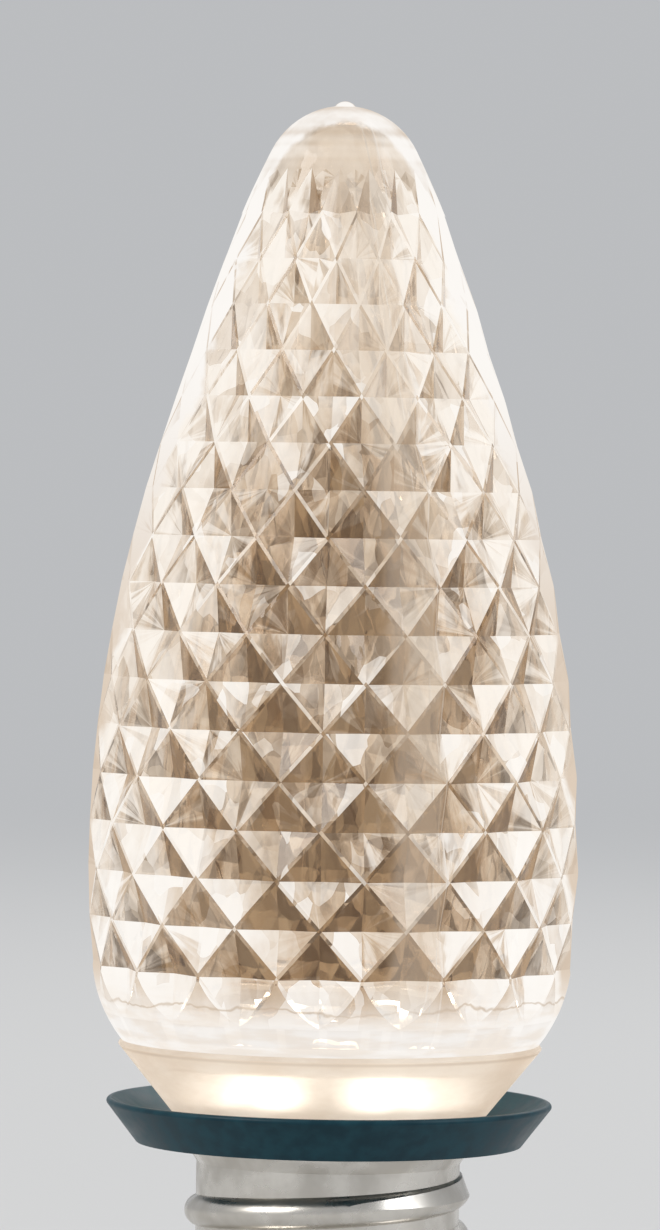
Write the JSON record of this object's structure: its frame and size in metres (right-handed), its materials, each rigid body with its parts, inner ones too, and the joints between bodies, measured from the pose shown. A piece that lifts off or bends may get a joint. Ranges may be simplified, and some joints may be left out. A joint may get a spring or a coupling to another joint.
{
  "type": "faceted led bulb",
  "caption": "Retrofit light bulb with a clear, hollow lens covered in diamond facets, a clear conical collar over its board, a dished seal ring and an intermediate screw base.",
  "frame": {"origin": "lowest point of the tip contact, on the bulb's axis", "axes": "+Z along the axis from the tip contact to the lens's tip; -Y faces the picture's camera, with a column of facet crests on it"},
  "size_m": [0.0286, 0.0284, 0.0801],
  "materials": {
    "lens_plastic": "clear moulding with a warm glow, polished facets",
    "collar_plastic": "clear moulding, glossy",
    "seal_rubber": "dark teal, glossy",
    "shell_metal": "nickel plated, bright",
    "insulator_plastic": "black, satin",
    "contact_metal": "plain brass",
    "solder": "bright solder",
    "board_laminate": "white solder mask",
    "led_plastic": "white",
    "phosphor": "warm phosphor fill",
    "tinned_metal": "tinned",
    "chip_ceramic": "black glaze",
    "rectifier_plastic": "black moulding",
    "resistor_enamel": "tan enamel",
    "wire_copper": "copper",
    "sleeve_plastic": "white insulation"
  },
  "bodies": {
    "root": {"lens": "lens_plastic", "collar": "collar_plastic", "seal_ring": "seal_rubber", "screw_shell": "shell_metal", "base_insulator": "insulator_plastic", "centre_contact": "contact_metal", "contact_solder": "solder", "shell_solder": "solder", "board_solder": "solder", "circuit_board": "board_laminate", "led_bodies": "led_plastic", "led_phosphors": "phosphor", "led_terminals": "tinned_metal", "chip_resistors": "chip_ceramic", "chip_resistor_caps": "tinned_metal", "rectifier_body": "rectifier_plastic", "rectifier_legs": "tinned_metal", "dropper_resistor": "resistor_enamel", "dropper_leads": "tinned_metal", "contact_wire": "wire_copper", "contact_sleeve": "sleeve_plastic", "shell_wire": "wire_copper", "shell_sleeve": "sleeve_plastic"}
  },
  "joints": []
}
